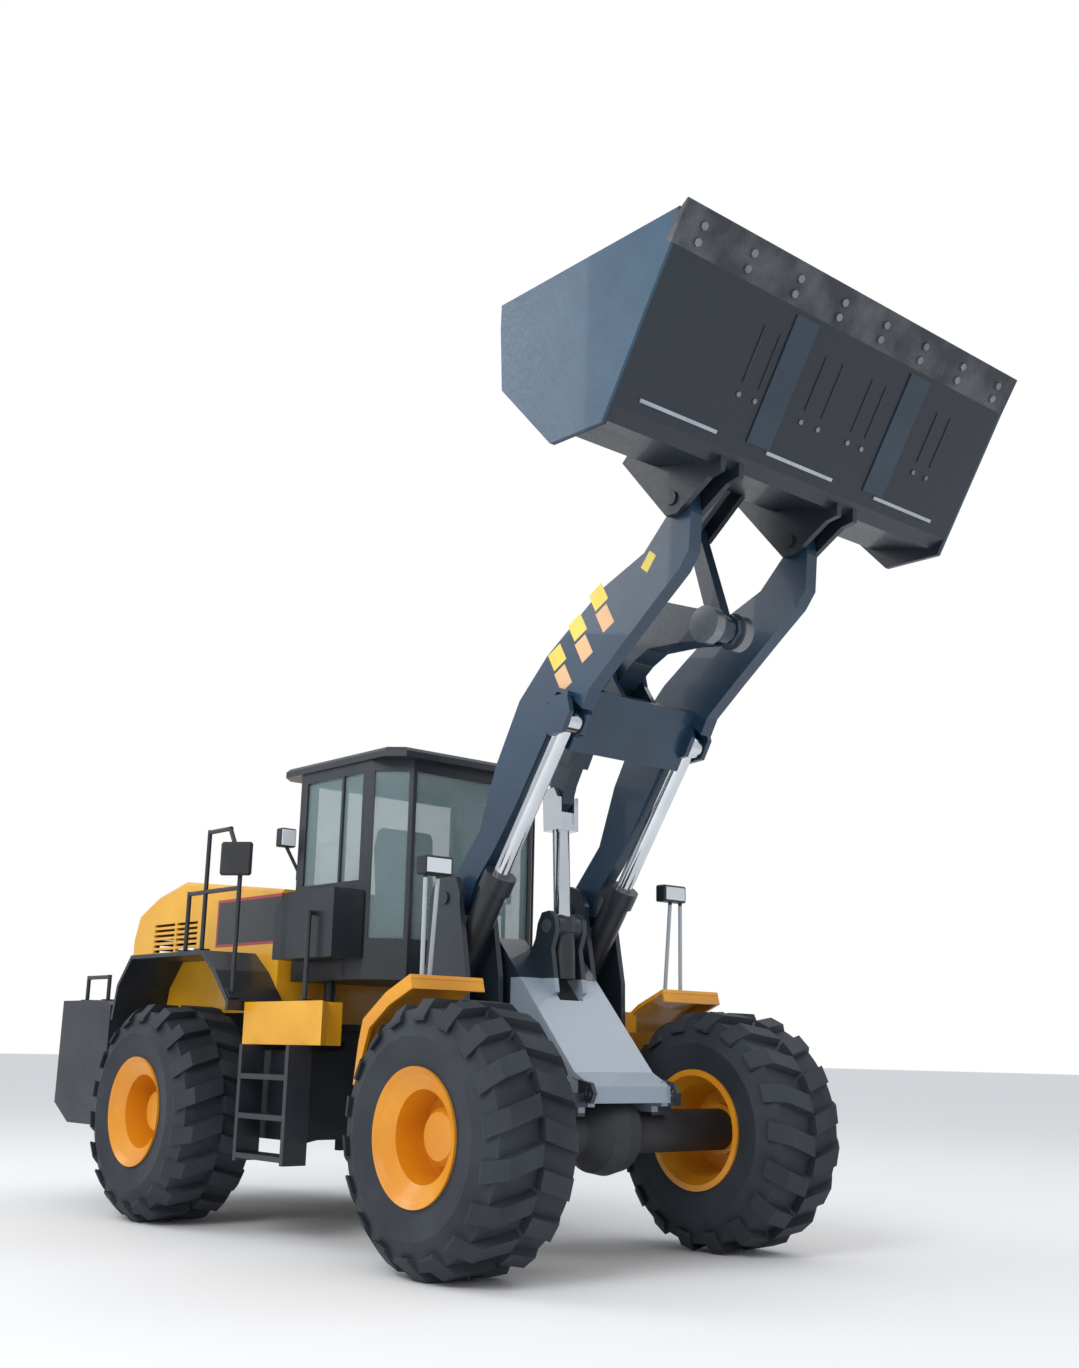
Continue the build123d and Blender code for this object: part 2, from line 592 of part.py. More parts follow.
# Rear frame
def rear_chassis():
    body = None
    for side in (-1, 1):
        rail = plate([(-620, 620), (-620, 1420), (-1100, 1420), (-3000, 1330), (-3000, 950), (-2300, 950),
                      (-2050, 1080), (-1380, 1080), (-1200, 800), (-900, 620)],
                     side * (CHASSIS_HALF - CHASSIS_T), side * CHASSIS_HALF)
        body = rail if body is None else body + rail
    body += box(-620, -560, -CHASSIS_HALF, CHASSIS_HALF, 540, 1420)
    body += box(-1250, -600, -CHASSIS_HALF, CHASSIS_HALF, 1380, 1420)
    body += box(-3000, -2960, -CHASSIS_HALF, CHASSIS_HALF, 950, 1330)
    for z in (HINGE_HIGH, HINGE_LOW):
        for sign in (-1, 1):
            middle = z + sign * (HINGE_T / 2 + HINGE_GAP + FORK_T / 2)
            body += box(-580, 0, -120, 120, middle - FORK_T / 2, middle + FORK_T / 2)
            body += upright(0, 0, HINGE_R, middle - FORK_T / 2, middle + FORK_T / 2)
        body += upright(0, 0, STEER_PIN_R, z - HINGE_T / 2 - FORK_T - 10, z + HINGE_T / 2 + FORK_T + 10)
    # Saddle of the rear axle and cab mounts
    x = AXLE_X["rear"]
    for side in (-1, 1):
        y = side * 380
        body += box(x - 140, x + 140, y - 50, y + 50, TYRE_R + 60, 1100)
    body -= across((x, TYRE_R), AXLE_TUBE_R + BEAD_GAP, -600, 600)
    for side in (-1, 1):
        for x0, z0 in ((-1180, 1380), (-2560, 1330)):
            body += box(x0, x0 + 60, min(side * 400, side * HOOD_HALF), max(side * 400, side * HOOD_HALF),
                        z0, 1500)
    for side in (-1, 1):
        body += box(-620, -560, min(side * 430, side * 620), max(side * 430, side * 620), 1300, 1420)
        body += upright(-590, side * 560, 45, 1420, CAB_FLOOR - 0.3)
        body += box(-560, 120, min(side * 300, side * 430), max(side * 300, side * 430), 1380, 1420)
        body += upright(60, side * 365, 45, 1420, CAB_FLOOR - 0.3)
    return body


def counterweight():
    outline = [(-3000, 1600), (-3740, 1600), (-3812, 1320), (-3812, 1010), (-3660, 780), (-3360, 620),
               (-3000, 620)]
    body = plate(outline, -WEIGHT_HALF, WEIGHT_HALF)
    rear = -3812
    body &= plan_block([(-2900, -WEIGHT_HALF), (rear + WEIGHT_CUT, -WEIGHT_HALF), (rear, -WEIGHT_HALF + WEIGHT_CUT),
                        (rear, WEIGHT_HALF - WEIGHT_CUT), (rear + WEIGHT_CUT, WEIGHT_HALF),
                        (-2900, WEIGHT_HALF)], 500, 1700)
    wing = [(-2740, 1560), (-3005, 1600), (-3005, 620), (-2900, 620), (-2740, 850)]
    for side in (-1, 1):
        body += plate(wing, side * 900, side * WEIGHT_HALF)
    low, high = TOW_Z
    for z0, z1 in ((600, low), (low + TOW_LIP, high - TOW_LIP), (high, high + 260)):
        body -= box(-3900, -3560, -160, 160, z0, z1)
    body -= upright(TOW_X, 0, TOW_R, low - 20, high + 20)
    return body


VENT_SLOTS = 6
VENT_Z = 1995.0
VENT_STEP = 42.0


def hood():
    outline = [(HOOD_FRONT, HOOD_FOOT), (HOOD_FRONT, 2400), (-2390, 2560), (-2850, 2460), (-3150, 2330),
               (HOOD_REAR, 2180), (HOOD_REAR, 1610), (-2600, 1610), (-2600, 1500), (-1100, 1500),
               (-1100, HOOD_FOOT)]
    w = HOOD_WALL
    body = plate(outline, -HOOD_HALF, HOOD_HALF)
    rims = [e for e in body.edges() if abs(abs(e.center().Y) - HOOD_HALF) < 1 and e.center().Z > 2250
            and e.center().X < HOOD_FRONT - 10]
    body = chamfer(rims, 26)
    body -= plate([(HOOD_FRONT - w, 1200), (HOOD_FRONT - w, 2375), (-2388, 2534), (-2843, 2435),
                   (-3135, 2308), (HOOD_REAR + w, 2170), (HOOD_REAR + w, 1200)],
                  -HOOD_HALF + w, HOOD_HALF - w)
    body -= box(HOOD_REAR - 10, HOOD_REAR + w + 10, -700, 700, 1660, 2140)
    for i in range(VENT_SLOTS):
        z = VENT_Z + i * VENT_STEP
        for x0 in (-2850, -2470):
            body -= box(x0, x0 + 350, -HOOD_HALF - 10, HOOD_HALF + 10, z, z + 22)
    x, y = GRILLE_PIVOT
    for z in GRILLE_HINGE_Z:
        body += upright(x, y, 12, z - 50, z - PIN_GAP) + box(x, HOOD_REAR + 1, y, y + 30, z - 50, z - PIN_GAP)
    return body


def grille_door():
    body = box(HOOD_REAR + 2, HOOD_REAR + 22, -694, 694, 1666, 2134)
    for i in range(9):
        for y in (-620, 20):
            body -= box(HOOD_REAR, HOOD_REAR + 30, y, y + 600, 1710 + i * 44, 1732 + i * 44)
    x, y = GRILLE_PIVOT
    for z in GRILLE_HINGE_Z:
        body += upright(x, y, 12, z, z + 50)
        body += box(x, x + 10, 640, y, z, z + 50) + box(x + 5, HOOD_REAR + 3, 640, 690, z, z + 50)
    return body


def engine():
    body = box(-2650, -1500, -330, 330, 1120, 1950)
    inner = CHASSIS_HALF - CHASSIS_T
    for x in (-2500, -1750):
        body += box(x, x + 120, -inner, inner, 1150, 1210)
    return body


def gearbox():
    body = box(-1050, -680, -300, 300, 640, 1200)
    shaft = bar((-1040, 0, 780), (AXLE_X["rear"] + DIFF_R + 1, 0, TYRE_R), 55)
    return body + shaft


def cab_plan(inset):
    return [(CAB_REAR + inset, -CAB_HALF + inset), (CAB_CORNER - inset * 0.4, -CAB_HALF + inset),
            (CAB_NOSE - inset, -NOSE_HALF + inset * 0.4), (CAB_NOSE - inset, NOSE_HALF - inset * 0.4),
            (CAB_CORNER - inset * 0.4, CAB_HALF - inset), (CAB_REAR + inset, CAB_HALF - inset)]


def plan_block(points, z0, z1):
    face = make_face(Polyline(*points, close=True))
    return Pos(0, 0, z0) * extrude(face, amount=z1 - z0)


WINDOW_SILL = 2410.0
WINDOW_TOP = 3180.0
SCREEN_SILL = 2000.0
SIDE_PANES = ((-700.0, -240.0), (-214.0, 30.0))
FRONT_PANE = 530.0
REAR_PANE = 650.0
CORNER_PANE = 250.0
DOOR_X = (-560.0, 70.0)
DOOR_Z = (1790.0, 3190.0)
DOOR_PIVOT = (-566.0, 796.0)
DOOR_HINGE_Z = (2030.0, 2930.0)


def corner_pane(side, depth, thickness, width, z0, z1):
    """A block along the angled wall beside the windscreen, its outside so deep in from the wall's."""
    middle = ((CAB_CORNER + CAB_NOSE) / 2, side * (CAB_HALF + NOSE_HALF) / 2)
    place = Pos(middle[0], middle[1], (z0 + z1) / 2) * Rot(0, 0, side * 45)
    return place * Pos(-depth - thickness / 2, 0, 0) * Box(thickness, width, z1 - z0)


def cab_shell():
    body = plan_block(cab_plan(0), CAB_FLOOR, CAB_TOP)
    body -= plan_block(cab_plan(CAB_WALL), CAB_FLOOR + 50, CAB_TOP + 1)
    for x0, x1 in SIDE_PANES:
        body -= box(x0, x1, -CAB_HALF - 10, -CAB_HALF + CAB_WALL + 10, WINDOW_SILL, WINDOW_TOP)
    body -= box(DOOR_X[0], DOOR_X[1], CAB_HALF - CAB_WALL - 10, CAB_HALF + 10, DOOR_Z[0], DOOR_Z[1])
    body -= box(CAB_NOSE - CAB_WALL - 20, CAB_NOSE + 10, -FRONT_PANE, FRONT_PANE, SCREEN_SILL, WINDOW_TOP)
    body -= box(CAB_REAR - 10, CAB_REAR + CAB_WALL + 10, -REAR_PANE, REAR_PANE, WINDOW_SILL, WINDOW_TOP)
    for side in (-1, 1):
        body -= corner_pane(side, -30, CAB_WALL + 50, CORNER_PANE, SCREEN_SILL, WINDOW_TOP)
    for z in DOOR_HINGE_Z:
        body += upright(DOOR_PIVOT[0], DOOR_PIVOT[1], 14, z - 60, z - PIN_GAP)
        body += box(DOOR_PIVOT[0] - 14, DOOR_PIVOT[0] + 6, CAB_HALF - 10, DOOR_PIVOT[1], z - 60, z - PIN_GAP)
    return body


def cab_glass():
    g = SEAT_GAP
    z0 = WINDOW_SILL + g
    z1 = WINDOW_TOP - g
    low = SCREEN_SILL + g
    panes = [box(x0 + g, x1 - g, -CAB_HALF + 16, -CAB_HALF + 16 + GLASS_T, z0, z1) for x0, x1 in SIDE_PANES]
    panes.append(box(CAB_NOSE - 24, CAB_NOSE - 24 + GLASS_T, -FRONT_PANE + g, FRONT_PANE - g, low, z1))
    panes.append(box(CAB_REAR + 16, CAB_REAR + 16 + GLASS_T, -REAR_PANE + g, REAR_PANE - g, z0, z1))
    for side in (-1, 1):
        panes.append(corner_pane(side, 16, GLASS_T, CORNER_PANE - 2 * g, low, z1))
    return panes


def cab_console():
    """Steering column and wheel, with the instrument housing in front of them."""
    low = CAB_FLOOR + 50 + SEAT_GAP
    housing = plate([(150, low), (290, low), (290, 2150), (250, 2190), (170, 2120)], -170, 170)
    column = bar((215, 0, 1900), (89, 0, 2306), 34)
    hub = Pos(90, 0, 2300) * Rot(0, -17, 0)
    wheel = hub * Torus(185, 15) + hub * Box(360, 34, 12)
    return housing + column + wheel


def work_lamps():
    out = []
    for side in (-1, 1):
        foot = box(CAB_REAR - 40, CAB_REAR - SEAT_GAP, min(side * 690, side * 760), max(side * 690, side * 760),
                   2470, 2530)
        stalk = bar((CAB_REAR - 25, side * 730, 2500), (-850, side * 850, 2720), 13)
        lamp = chamfer(box(-895, -810, min(side * 785, side * 915), max(side * 785, side * 915),
                           2710, 2850).edges(), 9)
        out.append(foot + stalk + lamp)
    return out


def cab_roof():
    roof = box(-1100, 420, -800, 800, CAB_TOP, CAB_TOP + ROOF_T)
    roof = chamfer(roof.edges().filter_by(Axis.Z), 110)
    return chamfer(roof.faces().sort_by(Axis.Z)[-1].edges(), 26)


def cab_seat():
    base = box(-430, -150, -170, 170, CAB_FLOOR + 50, 2060)
    cushion = plate([(-500, 2050), (-20, 2050), (0, 2080), (0, 2150), (-40, 2190), (-420, 2170), (-500, 2130)],
                    -260, 260)
    back = plate([(-520, 2090), (-400, 2150), (-450, 2850), (-490, 2900), (-560, 2880), (-600, 2740)], -235, 235)
    return base + cushion + back


def side_box():
    body = plate([(-620, 1860), (-620, 2230), (-480, 2330), (140, 2330), (140, 1860)], -1050, -800)
    body += box(-500, 60, -800, -CAB_HALF - 0.3, 1900, 2280)
    return body


def cab_door():
    gap = 8
    x0 = DOOR_X[0] + gap
    x1 = DOOR_X[1] - gap
    body = box(x0, x1, CAB_HALF - CAB_WALL + 5, CAB_HALF, DOOR_Z[0] + gap, DOOR_Z[1] - gap)
    body -= box(x0 + 60, x1 - 60, CAB_HALF - CAB_WALL - 5, CAB_HALF + 5, 2000, DOOR_Z[1] - 70)
    for z in DOOR_HINGE_Z:
        body += upright(DOOR_PIVOT[0], DOOR_PIVOT[1], 14, z, z + 60)
        body += box(DOOR_PIVOT[0], x0 + 50, CAB_HALF + 3, CAB_HALF + 11, z, z + 60)
        body += box(x0 + 4, x0 + 50, CAB_HALF - 1, CAB_HALF + 5, z, z + 60)
    return body


def door_glass():
    g = SEAT_GAP
    return box(DOOR_X[0] + 68 + g, DOOR_X[1] - 68 - g, CAB_HALF - 24, CAB_HALF - 24 + GLASS_T,
               SCREEN_SILL + g, DOOR_Z[1] - 70 - g)


def handrails():
    """Rails on the rear fenders, one grab post on the right deck and loops on the counterweight."""
    out = []
    for side in (-1, 1):
        y = side * RAIL_Y

        def at(x, z):
            return (x, y, z)

        rail = plate([(-840, 1650.4), (-770, 1580.4), (-758, 1592.4), (-828, 1662.4)], y - 40, y + 40)
        rail += bar(at(-800, 1631), at(-800, 2462), RAIL_R)
        for x, top in ((-1290, 2819), (-1539, 2370)):
            rail += box(x - 50, x + 50, y - 40, y + 40, 1935 + SEAT_GAP, 1950)
            rail += bar(at(x, 1940), at(x, top + RAIL_R), RAIL_R)
        rail += bar(at(-1539, 2370), at(-800, 2370), RAIL_R)
        rail += bar(at(-1290, 2819), at(-1000, 2819), RAIL_R)
        out.append(rail)
        loop_y = side * 1050
        for x in (-3600, -3200):
            post = box(x - 40, x + 40, loop_y - 40, loop_y + 40, 1600 + SEAT_GAP, 1615)
            post += bar((x, loop_y, 1605), (x, loop_y, 1800 + RAIL_R), RAIL_R)
            if x == -3600:
                post += bar((x, loop_y, 1800), (-3200, loop_y, 1800), RAIL_R)
                loop = post
        out.append(loop + post)
    post = box(-120, -40, -1140, -1060, 1560 + SEAT_GAP, 1575)
    post += bar((-80, -1100, 1565), (-80, -1100, 2180), RAIL_R)
    post += bar((-80, -1100, 2163), (-80, -1050 - SEAT_GAP, 2163), RAIL_R)
    out.append(post)
    return out


def mirrors():
    out = []
    for side in (-1, 1):
        head = Pos(-790, side * 1295, 2576) * Rot(0, 0, side * 50) * Box(44, 236, 244)
        head = chamfer(head.edges(), 14)
        clamp = Pos(-985, side * RAIL_Y, 2819) * Rot(0, 90, 0) * Cylinder(RAIL_R, 30 - SEAT_GAP)
        arm = bar((-985, side * RAIL_Y, 2819), (-800, side * 1290, 2640), RAIL_R)
        out.append(clamp + arm + head)
    return out


def platforms():
    out = []
    for side in (-1, 1):
        plan = [(-735, 850), (15, 850), (15, 975), (270, 1180), (-735, 1180)]
        deck = plan_block([(x, side * y) for x, y in plan], 1270, 1560)
        stay = box(-735, -640, min(side * 430.3, side * 860), max(side * 430.3, side * 860), 1300, 1400)
        out.append(deck + stay)
    return out


def ladders():
    out = []
    for side in (-1, 1):
        y0 = min(side * 1120, side * 1300)
        y1 = max(side * 1120, side * 1300)
        body = None
        for x in (-560, 40):
            rail = box(x, x + 40, y0, y1, 500, 1269.7)
            body = rail if body is None else body + rail
        for z in (520, 780, 1040):
            body += box(-560, 80, y0, y1, z, z + 35)
        out.append(body)
    return out


def tanks():
    return [box(-900, -200, 430.3, 1080, 640, 1230), box(-900, -200, -1080, -430.3, 640, 1230)]


def rear_fenders():
    outline = [(-2600, 1440), (-2535, 1710), (-2330, 1935), (-1190, 1935), (-980, 1790), (-760, 1570),
               (-770, 1500), (-800, 1500), (-795, 1558), (-1005, 1762), (-1200, 1905), (-2315, 1905),
               (-2508, 1695), (-2570, 1440)]
    out = []
    for side in (-1, 1):
        out.append(plate(outline, side * (HOOD_HALF + 0.3), side * 1300))
    return out


def export_all():
    save_wheels()
    save("front_frame", front_frame())
    save("front_axle", front_axle())
    save("rear_axle", axle("rear"))
    save("front_fenders", *front_fenders())
    save("headlamps", *headlamps())
    save("boom", boom())
    lift_rods_and_barrels()
    save("bellcrank", bellcrank())
    save("bellcrank_pin", capped_pin(CRANK_PIVOT, 160 + SEAT_GAP, CRANK_CAP_T))
    save("link", link())
    save("link_pin", capped_pin(LINK_PIN, 95 + SEAT_GAP, CAP_T))
    tilt_cylinder()
    save("tilt_pin", across(TILT_BASE, PIVOT_R, 66, 146), across(TILT_BASE, PIVOT_R, -146, -66))
    reach = ARM_Y + ARM_T / 2 + EAR_GAP + EAR_T + 14
    near = ARM_Y - ARM_T / 2 - EAR_GAP - EAR_T - 14
    save("bucket_pins", across(BOOM_TIP, TIP_PIN_R, near, reach), across(BOOM_TIP, TIP_PIN_R, -reach, -near))
    save("bucket", bucket())
    save("cutting_edge", cutting_edge())
    save("rear_chassis", rear_chassis())
    save("counterweight", counterweight())
    save("hood", hood())
    save("grille_door", grille_door())
    save("engine", engine())
    save("gearbox", gearbox())
    save("cab_shell", cab_shell())
    save("cab_glass", *cab_glass())
    save("cab_console", cab_console())
    save("work_lamps", *work_lamps())
    save("cab_roof", cab_roof())
    save("cab_seat", cab_seat())
    save("cab_side_box", side_box())
    save("cab_door", cab_door())
    save("door_glass", door_glass())
    save("handrails", *handrails())
    save("mirrors", *mirrors())
    save("platforms", *platforms())
    save("ladders", *ladders())
    save("tanks", *tanks())
    save("rear_fenders", *rear_fenders())


export_all()
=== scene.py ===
import bpy
import math
from mathutils import Vector, Matrix


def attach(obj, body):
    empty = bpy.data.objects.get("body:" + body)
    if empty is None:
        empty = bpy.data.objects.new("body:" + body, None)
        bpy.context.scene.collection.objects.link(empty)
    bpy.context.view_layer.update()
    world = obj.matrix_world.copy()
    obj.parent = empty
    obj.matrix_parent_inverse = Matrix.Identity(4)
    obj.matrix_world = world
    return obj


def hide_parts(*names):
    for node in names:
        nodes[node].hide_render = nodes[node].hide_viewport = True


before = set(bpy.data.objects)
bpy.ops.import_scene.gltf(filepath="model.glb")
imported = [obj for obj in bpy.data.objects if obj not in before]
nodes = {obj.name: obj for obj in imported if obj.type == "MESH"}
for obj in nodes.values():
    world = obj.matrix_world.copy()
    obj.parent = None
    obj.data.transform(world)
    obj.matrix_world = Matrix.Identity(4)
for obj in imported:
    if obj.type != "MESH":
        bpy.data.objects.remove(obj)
bpy.ops.object.select_all(action="DESELECT")
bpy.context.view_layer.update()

# Camera, placed where the photograph was taken from; angles in radians, places in metres
view = {"yaw": 0.7160, "pitch": 0.2438, "roll": 0.0204, "place": (8.6597, -6.7095, 1.2552),
        "lens": 38.94, "sensor": 36, "farthest": 200}


def addCamera():
    look = Vector((-math.cos(view["yaw"]) * math.cos(view["pitch"]),
                   math.sin(view["yaw"]) * math.cos(view["pitch"]), math.sin(view["pitch"])))
    right = look.cross(Vector((0, 0, 1))).normalized()
    up = right.cross(look)
    c, s = math.cos(view["roll"]), math.sin(view["roll"])
    side = right * c + up * s
    top = up * c - right * s
    turn = Matrix((side, top, -look)).transposed().to_4x4()
    bpy.ops.object.camera_add()
    camera = bpy.context.object
    camera.name = "camera"
    camera.matrix_world = Matrix.Translation(Vector(view["place"])) @ turn
    camera.data.lens = view["lens"]
    camera.data.sensor_width = view["sensor"]
    camera.data.clip_end = view["farthest"]
    bpy.context.scene.camera = camera


addCamera()
bpy.context.scene.view_settings.view_transform = "Standard"


# Finishes: every one takes its colour, gloss and grain from Object coordinates
def newMat(name):
    mat = bpy.data.materials.new(name)
    mat.use_nodes = True
    return mat, mat.node_tree, mat.node_tree.nodes["Principled BSDF"]


def linkNoise(tree, coord, scale, detail):
    noise = tree.nodes.new("ShaderNodeTexNoise")
    noise.inputs["Scale"].default_value = scale
    noise.inputs["Detail"].default_value = detail
    tree.links.new(coord.outputs["Object"], noise.inputs["Vector"])
    return noise


noiseLook = {"broadDetail": 3, "fineDetail": 5, "rampStart": 0.35, "rampEnd": 0.68, "bumpHeight": 0.002}


def ramp(tree, source, low, high):
    node = tree.nodes.new("ShaderNodeValToRGB")
    node.color_ramp.elements[0].color = (*low, 1)
    node.color_ramp.elements[1].color = (*high, 1)
    node.color_ramp.elements[0].position = noiseLook["rampStart"]
    node.color_ramp.elements[1].position = noiseLook["rampEnd"]
    tree.links.new(source, node.inputs["Fac"])
    return node.outputs["Color"]


def compare(tree, source, mode, value):
    node = tree.nodes.new("ShaderNodeMath")
    node.operation = mode
    tree.links.new(source, node.inputs[0])
    node.inputs[1].default_value = value
    return node.outputs[0]


def times(tree, first, second):
    node = tree.nodes.new("ShaderNodeMath")
    node.operation = "MULTIPLY"
    tree.links.new(first, node.inputs[0])
    tree.links.new(second, node.inputs[1])
    return node.outputs[0]


def mixPaint(tree, factor, under, paint):
    node = tree.nodes.new("ShaderNodeMix")
    node.data_type = "RGBA"
    tree.links.new(factor, node.inputs["Factor"])
    colours = {i.name: i for i in node.inputs if i.type == "RGBA"}
    tree.links.new(under, colours["A"])
    colours["B"].default_value = (*paint, 1)
    return [o for o in node.outputs if o.type == "RGBA"][0]


# 1 inside a box of Object coordinates, whose y limits hold for both sides of the machine
def boxMask(tree, coord, **limits):
    split = tree.nodes.new("ShaderNodeSeparateXYZ")
    tree.links.new(coord.outputs["Object"], split.inputs[0])
    out = None
    for axis, (low, high) in limits.items():
        source = split.outputs[axis.upper()]
        if axis == "y":
            node = tree.nodes.new("ShaderNodeMath")
            node.operation = "ABSOLUTE"
            tree.links.new(source, node.inputs[0])
            source = node.outputs[0]
        above = compare(tree, source, "GREATER_THAN", low)
        below = compare(tree, source, "LESS_THAN", high)
        inside = times(tree, above, below)
        out = inside if out is None else times(tree, out, inside)
    return out


def addFinish(name, low, high, rough, metallic=0.0, scale=2.5, grain=60, bump=0.05, coat=0.0, patches=()):
    mat, tree, shader = newMat(name)
    coord = tree.nodes.new("ShaderNodeTexCoord")
    broad = linkNoise(tree, coord, scale, noiseLook["broadDetail"])
    colour = ramp(tree, broad.outputs["Fac"], low, high)
    for limits, paint in patches:
        colour = mixPaint(tree, boxMask(tree, coord, **limits), colour, paint)
    tree.links.new(colour, shader.inputs["Base Color"])
    fine = linkNoise(tree, coord, grain, noiseLook["fineDetail"])
    gloss = ramp(tree, fine.outputs["Fac"], (rough[0],) * 3, (rough[1],) * 3)
    tree.links.new(gloss, shader.inputs["Roughness"])
    height = tree.nodes.new("ShaderNodeBump")
    height.inputs["Strength"].default_value = bump
    height.inputs["Distance"].default_value = noiseLook["bumpHeight"]
    tree.links.new(fine.outputs["Fac"], height.inputs["Height"])
    tree.links.new(height.outputs["Normal"], shader.inputs["Normal"])
    shader.inputs["Metallic"].default_value = metallic
    shader.inputs["Coat Weight"].default_value = coat
    return mat


windowGlass = {"tint": (0.30, 0.42, 0.44), "lighter": 1.1, "rough": (0.03, 0.07), "haze": 3, "alpha": 0.35}


def addGlass():
    mat, tree, shader = newMat("windowGlass")
    coord = tree.nodes.new("ShaderNodeTexCoord")
    haze = linkNoise(tree, coord, windowGlass["haze"], noiseLook["broadDetail"])
    tint = windowGlass["tint"]
    lighter = tuple(c * windowGlass["lighter"] for c in tint)
    smooth, dull = windowGlass["rough"]
    tree.links.new(ramp(tree, haze.outputs["Fac"], tint, lighter), shader.inputs["Base Color"])
    tree.links.new(ramp(tree, haze.outputs["Fac"], (smooth,) * 3, (dull,) * 3), shader.inputs["Roughness"])
    shader.inputs["Alpha"].default_value = windowGlass["alpha"]
    mat.surface_render_method = "BLENDED"
    return mat


# Patches: the box that a second colour fills, and that colour
# Painted shade: the underside of the raised bucket is painted near-black, standing in for the shade that
# falls under it
paintedShadeUnderBucket = ({"x": (2.3, 4.0), "y": (-1, 1.570), "z": (4.3, 5.7)}, (0.012, 0.019, 0.030))
hoodPanelBorder = ({"x": (-1.898, -0.588), "y": (0.8, 1.0), "z": (2.000, 2.370)}, (0.45, 0.03, 0.04))
hoodPanel = ({"x": (-1.875, -0.588), "y": (0.8, 1.0), "z": (2.022, 2.348)}, (0.02, 0.022, 0.03))
# Painted light and shade: the lower part of the frame's slope cover is painted a lighter grey-blue so that
# the steeper upper part shows darker, standing in for the light and shade that its bend makes
paintedLightOnSlopeFoot = ({"x": (1.10, 3.0), "y": (-1, 0.345), "z": (0.9, 1.728)}, (0.30, 0.36, 0.43))
weightRear = ({"x": (-4.2, -3.74), "y": (-1, 2), "z": (0, 3)}, (0.42, 0.47, 0.53))
headlampFace = ({"x": (1.251, 1.3), "y": (0.975, 1.166), "z": (2.335, 2.425)}, (0.75, 0.79, 0.83))
headlampBars = ({"x": (0.9, 1.3), "y": (0.9, 1.3), "z": (1.6, 2.30)}, (0.42, 0.46, 0.5))
workLampFace = ({"x": (-0.904, -0.85), "y": (0.79, 0.91), "z": (2.72, 2.84)}, (0.75, 0.79, 0.83))

finishes = {
    "bluePaint": {"low": (0.012, 0.036, 0.072), "high": (0.018, 0.052, 0.098), "rough": (0.28, 0.42),
                  "coat": 0.3},
    # The bucket paint carries the painted shade on the bucket's underside
    "bucketPaint": {"low": (0.020, 0.060, 0.108), "high": (0.028, 0.080, 0.140), "rough": (0.35, 0.5),
                    "coat": 0.15, "patches": (paintedShadeUnderBucket,)},
    "linkPaint": {"low": (0.014, 0.030, 0.052), "high": (0.02, 0.042, 0.07), "rough": (0.3, 0.45),
                  "coat": 0.2},
    "yellowPaint": {"low": (0.78, 0.36, 0.010), "high": (0.88, 0.44, 0.018), "rough": (0.3, 0.45),
                    "coat": 0.3},
    "hoodPaint": {"low": (0.82, 0.40, 0.012), "high": (0.92, 0.48, 0.025), "rough": (0.28, 0.42),
                  "coat": 0.35, "patches": (hoodPanelBorder, hoodPanel)},
    "fenderPaint": {"low": (0.72, 0.28, 0.008), "high": (0.82, 0.36, 0.015), "rough": (0.32, 0.48),
                    "coat": 0.2},
    "rimPaint": {"low": (0.72, 0.27, 0.008), "high": (0.82, 0.34, 0.012), "rough": (0.32, 0.5),
                 "coat": 0.2},
    "darkPaint": {"low": (0.012, 0.016, 0.022), "high": (0.02, 0.026, 0.035), "rough": (0.34, 0.5),
                  "coat": 0.15},
    # The frame paint carries the painted light on the lower slope cover
    "framePaint": {"low": (0.016, 0.024, 0.036), "high": (0.024, 0.034, 0.05), "rough": (0.3, 0.45),
                   "coat": 0.3, "patches": (paintedLightOnSlopeFoot,)},
    "weightPaint": {"low": (0.018, 0.022, 0.03), "high": (0.03, 0.036, 0.046), "rough": (0.4, 0.55),
                    "patches": (weightRear,)},
    "wornSteel": {"low": (0.05, 0.057, 0.068), "high": (0.12, 0.13, 0.145), "rough": (0.38, 0.62),
                  "metallic": 0.4, "scale": 5, "bump": 0.2},
    "silverPaint": {"low": (0.40, 0.45, 0.51), "high": (0.52, 0.57, 0.62), "rough": (0.25, 0.4),
                    "metallic": 0.5},
    "chrome": {"low": (0.62, 0.65, 0.68), "high": (0.74, 0.77, 0.8), "rough": (0.08, 0.16),
               "metallic": 1.0, "bump": 0.0},
    "pinSteel": {"low": (0.18, 0.2, 0.22), "high": (0.3, 0.32, 0.34), "rough": (0.3, 0.45),
                 "metallic": 0.8},
    "castIron": {"low": (0.016, 0.018, 0.022), "high": (0.035, 0.038, 0.044), "rough": (0.45, 0.65),
                 "grain": 120, "bump": 0.25},
    "tyreRubber": {"low": (0.016, 0.021, 0.030), "high": (0.030, 0.038, 0.050), "rough": (0.62, 0.82),
                   "grain": 160, "bump": 0.3},
    "darkPlastic": {"low": (0.015, 0.016, 0.019), "high": (0.026, 0.028, 0.032), "rough": (0.5, 0.65),
                    "grain": 200, "bump": 0.2},
    "seatCloth": {"low": (0.02, 0.022, 0.026), "high": (0.045, 0.048, 0.055), "rough": (0.8, 0.95),
                  "grain": 400, "bump": 0.5},
    "lampHousing": {"low": (0.012, 0.014, 0.017), "high": (0.02, 0.023, 0.028), "rough": (0.35, 0.5),
                    "grain": 90, "bump": 0.1, "patches": (headlampFace, headlampBars, workLampFace)},
    "stickerYellow": {"low": (0.82, 0.62, 0.08), "high": (0.9, 0.7, 0.12), "rough": (0.3, 0.4),
                      "bump": 0.0},
    "stickerPeach": {"low": (0.78, 0.46, 0.22), "high": (0.84, 0.52, 0.27), "rough": (0.3, 0.4),
                     "bump": 0.0}}
paints = {name: addFinish(name, **values) for name, values in finishes.items()}
paints["windowGlass"] = addGlass()

